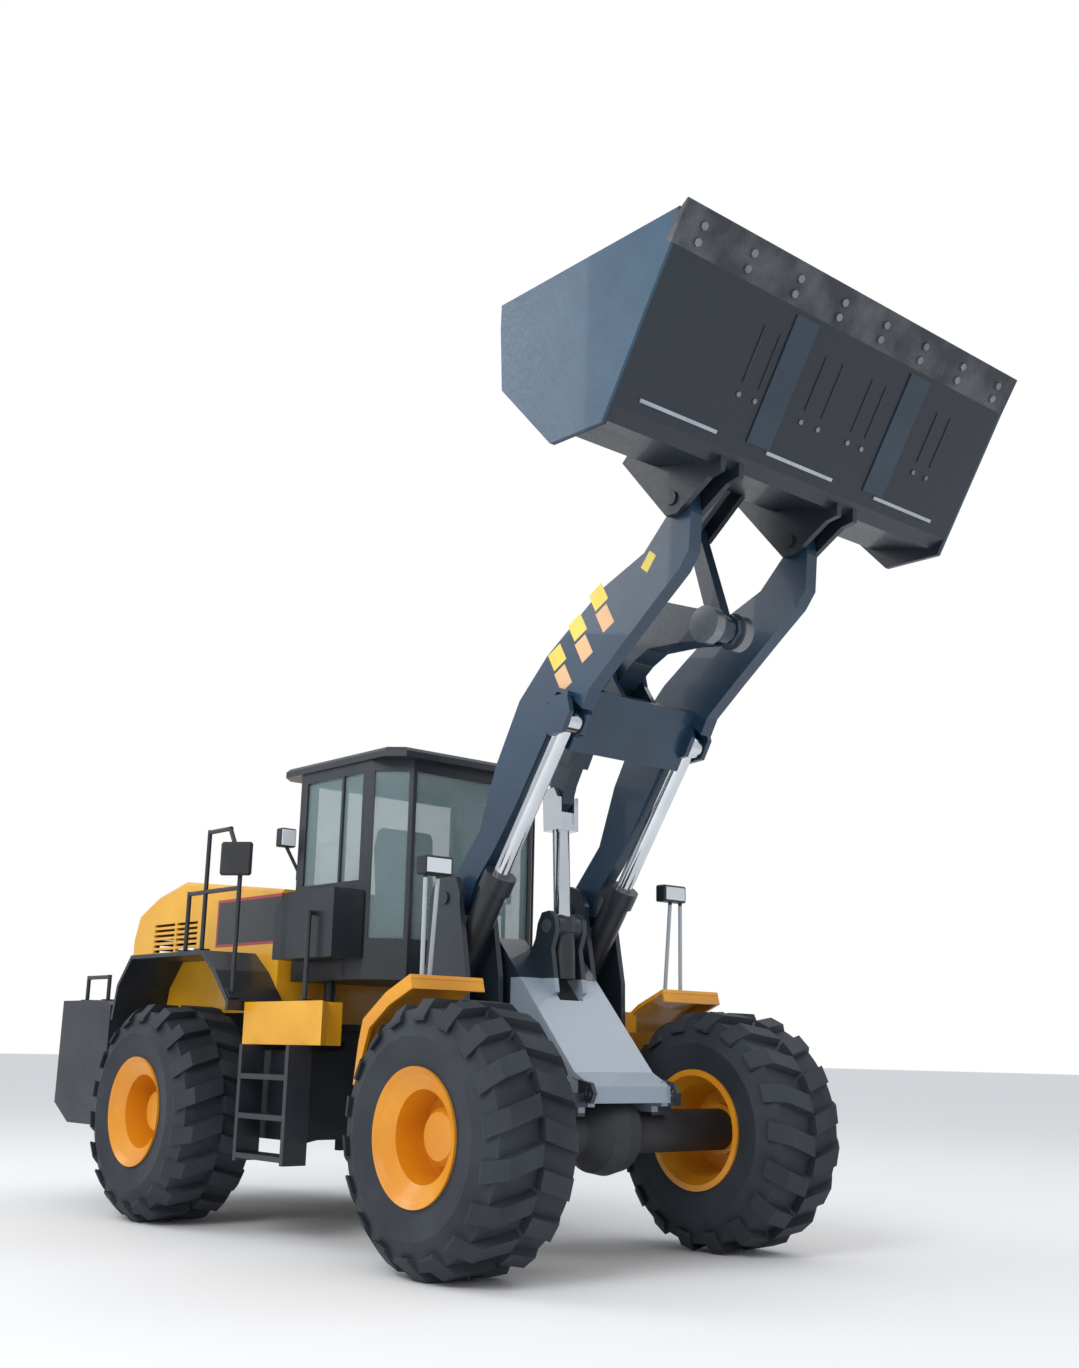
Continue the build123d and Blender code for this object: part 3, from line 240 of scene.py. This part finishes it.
# Which finish each CAD node wears; rims and tyres follow from the start of their names
wornBy = {
    "bluePaint": ("boom",),
    "bucketPaint": ("bucket",),
    "linkPaint": ("bellcrank", "link"),
    "fenderPaint": ("front_fenders",),
    "hoodPaint": ("hood",),
    "yellowPaint": ("platforms",),
    "framePaint": ("front_frame",),
    "weightPaint": ("counterweight",),
    "darkPaint": ("rear_fenders", "rear_chassis", "cab_shell", "cab_roof", "cab_door", "cab_side_box",
                  "ladders", "tanks", "grille_door", "lift_barrel_left", "lift_barrel_right",
                  "handrails", "tilt_barrel", "bucket_pins"),
    "wornSteel": ("cutting_edge",),
    "chrome": ("lift_rod_left", "lift_rod_right", "tilt_rod"),
    "pinSteel": ("bellcrank_pin", "link_pin", "tilt_pin"),
    "castIron": ("engine", "gearbox", "front_axle", "rear_axle"),
    "lampHousing": ("headlamps", "work_lamps"),
    "darkPlastic": ("cab_console", "mirrors"),
    "seatCloth": ("cab_seat",),
    "windowGlass": ("cab_glass", "door_glass"),
    "rimPaint": [name for name in nodes if name.startswith("rim_")],
    "tyreRubber": [name for name in nodes if name.startswith("tyre_")]}
for paintName, wearers in wornBy.items():
    for wearer in wearers:
        for place in nodes[wearer].material_slots:
            place.link = "OBJECT"
            place.material = paints[paintName]
print("finishes done")

# Floor, sky and three soft lamps aimed at the machine's middle
stage = {"floorSize": 300, "floorDrop": 0.002, "floor": (0.95, 0.95, 0.95, 1), "floorRough": 0.85,
         "sky": (0.93, 0.96, 1, 1), "skyLight": 0.72, "backdrop": (1, 1, 1, 1), "aim": (0, 0, 2),
         "lamps": (((6, -12, 10), 6, 800), ((-9, -8, 11), 7, 450), ((3, 9, 12), 7, 260))}


def addFloor():
    bpy.ops.mesh.primitive_plane_add(size=stage["floorSize"], location=(0, 0, -stage["floorDrop"]))
    floor = bpy.context.object
    floor.name = "floor"
    mat, tree, shader = newMat("floorPaint")
    shader.inputs["Base Color"].default_value = stage["floor"]
    shader.inputs["Roughness"].default_value = stage["floorRough"]
    floor.data.materials.append(mat)


# The sky lights the machine softly, and only the camera sees it as plain white
def addSky():
    world = bpy.data.worlds.new("sky")
    world.use_nodes = True
    bpy.context.scene.world = world
    tree = world.node_tree
    light = tree.nodes["Background"]
    light.inputs["Color"].default_value = stage["sky"]
    light.inputs["Strength"].default_value = stage["skyLight"]
    shown = tree.nodes.new("ShaderNodeBackground")
    shown.inputs["Color"].default_value = stage["backdrop"]
    shown.inputs["Strength"].default_value = 1
    rays = tree.nodes.new("ShaderNodeLightPath")
    choose = tree.nodes.new("ShaderNodeMixShader")
    tree.links.new(rays.outputs["Is Camera Ray"], choose.inputs["Fac"])
    tree.links.new(light.outputs["Background"], choose.inputs[1])
    tree.links.new(shown.outputs["Background"], choose.inputs[2])
    tree.links.new(choose.outputs["Shader"], tree.nodes["World Output"].inputs["Surface"])


def addLamps():
    for spot, size, power in stage["lamps"]:
        bpy.ops.object.light_add(type="AREA", location=spot)
        lamp = bpy.context.object
        lamp.data.size = size
        lamp.data.energy = power
        lamp.rotation_euler = (Vector(stage["aim"]) - Vector(spot)).to_track_quat("-Z", "Y").to_euler()


addFloor()
addSky()
addLamps()
print("camera and stage done")


# A plate with broken edges, lying at the origin with its length along x
def modelPlate(sizes, bevel):
    bpy.ops.mesh.primitive_cube_add(size=1)
    piece = bpy.context.object
    piece.scale = sizes
    bpy.ops.object.transform_apply(location=True, rotation=True, scale=True)
    bpy.ops.object.mode_set(mode="EDIT")
    bpy.ops.mesh.select_all(action="SELECT")
    bpy.ops.mesh.bevel(offset=bevel, segments=2, affect="EDGES")
    bpy.ops.object.mode_set(mode="OBJECT")
    return piece


# A hexagon bolt head with broken edges, standing at the origin
def modelBolt(radius, height):
    edgeShare = 0.12
    bpy.ops.mesh.primitive_cylinder_add(vertices=6, radius=radius, depth=height)
    piece = bpy.context.object
    bpy.ops.object.mode_set(mode="EDIT")
    bpy.ops.mesh.select_all(action="SELECT")
    bpy.ops.mesh.bevel(offset=radius * edgeShare, segments=1, affect="EDGES")
    bpy.ops.object.mode_set(mode="OBJECT")
    return piece


# Turns the origin's z to out, and its x to along where a piece has a length
def standing(out, along):
    if along is None:
        return out.to_track_quat("Z", "Y").to_matrix().to_4x4()
    along = Vector(along).normalized()
    return Matrix((along, out.cross(along), out)).transposed().to_4x4()


# Copies a modelled piece to every place where a ray meets the CAD node, and joins the copies.
# where holds the node, the body it rides on, its slot, the rays' starts and way, and the lift off the face
def addOnFace(name, model, where, paintName, along=None):
    node = nodes[where["node"]]
    way = Vector(where["way"]).normalized()
    bpy.ops.object.select_all(action="DESELECT")
    copies = []
    for start in where["starts"]:
        hit, spot, normal, face = node.ray_cast(Vector(start), way)
        if hit:
            copy = model.copy()
            copy.data = model.data.copy()
            bpy.context.scene.collection.objects.link(copy)
            out = normal.normalized()
            copy.data.transform(Matrix.Translation(spot + normal * where["lift"]) @ standing(out, along))
            copy.select_set(True)
            copies.append(copy)
    bpy.data.objects.remove(model)
    bpy.context.view_layer.objects.active = copies[0]
    bpy.ops.object.join()
    piece = bpy.context.object
    piece.name = name
    piece.data.materials.clear()
    piece.data.materials.append(paints[paintName])
    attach(piece, where["body"])
    bpy.ops.object.select_all(action="DESELECT")
    print(name, len(copies), "of", len(where["starts"]))


# Underside of the bucket: the floor's line in the side plane, and the way out of it
floorFoot = Vector((3.297, 0, 4.677))
floorEnd = Vector((3.764, 0, 5.446))
floorRun = (floorEnd - floorFoot).normalized()
floorOut = Vector((floorRun.z, 0, -floorRun.x))
underReach = 0.6


# Ray starts outside the floor, at a distance along its line from base and at each side position
def under(base, along, across):
    spot = base + floorRun * along + floorOut * underReach
    return [(spot.x, y, spot.z) for y in across]


def addUnder(name, node, slotName, lift, starts, model, paintName, along=None):
    where = {"node": node, "body": "bucket", "slot": slotName, "lift": lift, "way": -floorOut,
             "starts": starts}
    addOnFace(name, model, where, paintName, along)


# Bolt pairs through the cutting edge
edgeBolts = {"pairs": 8, "first": -1.42, "pitch": 0.4057, "rows": (0.06, 0.15), "radius": 0.026,
             "height": 0.018, "lift": 0.008}
edgeStarts = []
for i in range(edgeBolts["pairs"]):
    for row in edgeBolts["rows"]:
        edgeStarts += under(floorEnd, row, (edgeBolts["first"] + i * edgeBolts["pitch"],))
addUnder("edgeBolts", "cutting_edge", "worn_steel", edgeBolts["lift"], edgeStarts,
         modelBolt(edgeBolts["radius"], edgeBolts["height"]), "pinSteel")

# Two stiffening plates up the floor
floorPlates = {"along": 0.48, "across": (-0.42, 0.69), "sizes": (0.78, 0.20, 0.012), "bevel": 0.003,
               "lift": 0.005}
addUnder("floorPlates", "bucket", "blue_paint", floorPlates["lift"],
         under(floorFoot, floorPlates["along"], floorPlates["across"]),
         modelPlate(floorPlates["sizes"], floorPlates["bevel"]), "linkPaint", floorRun)

# Three long wear strips across the floor's foot
wearStrips = {"along": 0.075, "across": (-1.08, -0.02, 1.03), "sizes": (0.62, 0.022, 0.010),
              "bevel": 0.002, "lift": 0.004}
addUnder("wearStrips", "bucket", "worn_steel", wearStrips["lift"],
         under(floorFoot, wearStrips["along"], wearStrips["across"]),
         modelPlate(wearStrips["sizes"], wearStrips["bevel"]), "silverPaint", (0, 1, 0))

# Plug bolts on the floor with a weld bead above each
floorColumns = {"across": (-0.72, -0.58, -0.16, 0.0, 0.29, 0.43, 0.98, 1.12), "plugAlong": 0.32,
                "plugRadius": 0.018, "plugHeight": 0.012, "plugLift": 0.005, "beadAlong": 0.56,
                "beadSizes": (0.34, 0.014, 0.008), "beadBevel": 0.003, "beadLift": 0.003}
addUnder("floorPlugs", "bucket", "worn_steel", floorColumns["plugLift"],
         under(floorFoot, floorColumns["plugAlong"], floorColumns["across"]),
         modelBolt(floorColumns["plugRadius"], floorColumns["plugHeight"]), "pinSteel")
addUnder("floorBeads", "bucket", "blue_paint", floorColumns["beadLift"],
         under(floorFoot, floorColumns["beadAlong"], floorColumns["across"]),
         modelPlate(floorColumns["beadSizes"], floorColumns["beadBevel"]), "darkPaint", floorRun)
print("bucket pieces done")

sides = ((-1, "right"), (1, "left"))

# Blank stickers on the boom's outer faces: three yellow, three peach below them, one near the tip
boomStickers = {"first": (1.80, 3.60), "step": (0.19, 0.16), "count": 3, "outside": 1.5,
                "highShift": (0, 0.12), "highSizes": (0.13, 0.13, 0.0015),
                "lowShift": (0.06, -0.03), "lowSizes": (0.11, 0.15, 0.0015), "slope": (1, 0, 0.55),
                "tip": (2.62, 4.17), "tipSizes": (0.12, 0.07, 0.0015), "tipSlope": (1, 0, 1.2),
                "bevel": 0.0003, "lift": 0.0005}


def stickerStarts(side, shift):
    (x, z), (dx, dz) = boomStickers["first"], boomStickers["step"]
    return [(x + dx * i + shift[0], side * boomStickers["outside"], z + dz * i + shift[1])
            for i in range(boomStickers["count"])]


def addSticker(name, side, starts, sizes, paintName, slope):
    where = {"node": "boom", "body": "boom", "slot": "yellow_paint", "lift": boomStickers["lift"],
             "way": (0, -side, 0), "starts": starts}
    addOnFace(name, modelPlate(sizes, boomStickers["bevel"]), where, paintName, slope)


for side, hand in sides:
    tipStart = (boomStickers["tip"][0], side * boomStickers["outside"], boomStickers["tip"][1])
    addSticker("boomStickersHigh_" + hand, side, stickerStarts(side, boomStickers["highShift"]),
               boomStickers["highSizes"], "stickerYellow", boomStickers["slope"])
    addSticker("boomStickersLow_" + hand, side, stickerStarts(side, boomStickers["lowShift"]),
               boomStickers["lowSizes"], "stickerPeach", boomStickers["slope"])
    addSticker("boomTipLabel_" + hand, side, [tipStart], boomStickers["tipSizes"], "stickerYellow",
               boomStickers["tipSlope"])
print("stickers done")

# Ring of wheel nuts on every rim
wheelNuts = {"axles": (("front", 1.635), ("rear", -1.811)), "hub": 0.775, "ring": 0.17, "count": 16,
             "outside": 2.0, "radius": 0.017, "height": 0.022, "lift": 0.010}


def nutStarts(x, side):
    step = 2 * math.pi / wheelNuts["count"]
    return [(x + wheelNuts["ring"] * math.cos(i * step), side * wheelNuts["outside"],
             wheelNuts["hub"] + wheelNuts["ring"] * math.sin(i * step)) for i in range(wheelNuts["count"])]


for axle, x in wheelNuts["axles"]:
    for side, hand in sides:
        wheel = axle + "_" + hand
        where = {"node": "rim_" + wheel, "body": "wheel_" + wheel, "slot": "yellow_paint",
                 "lift": wheelNuts["lift"], "way": (0, -side, 0), "starts": nutStarts(x, side)}
        addOnFace("wheelNuts_" + wheel, modelBolt(wheelNuts["radius"], wheelNuts["height"]), where,
                  "rimPaint")
print("wheel nuts done")

# Seat: a copy of the CAD seat, remeshed and smoothed so that its cushions are round and full
seat = {"voxel": 0.012, "soften": 0.5, "rounds": 14, "fill": 0.6}


def addSeat():
    piece = bpy.data.objects.new("seatCushions", nodes["cab_seat"].data.copy())
    bpy.context.scene.collection.objects.link(piece)
    bpy.context.view_layer.objects.active = piece
    piece.select_set(True)
    remesh = piece.modifiers.new("remesh", "REMESH")
    remesh.mode = "VOXEL"
    remesh.voxel_size = seat["voxel"]
    soften = piece.modifiers.new("soften", "SMOOTH")
    soften.factor = seat["soften"]
    soften.iterations = seat["rounds"]
    bpy.ops.object.modifier_apply(modifier="remesh")
    bpy.ops.object.modifier_apply(modifier="soften")
    bpy.ops.object.shade_smooth()
    piece.data.materials.clear()
    piece.data.materials.append(paints["seatCloth"])
    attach(piece, "rear_frame")
    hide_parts("cab_seat")
    bpy.ops.object.select_all(action="DESELECT")


addSeat()
print("seat done")
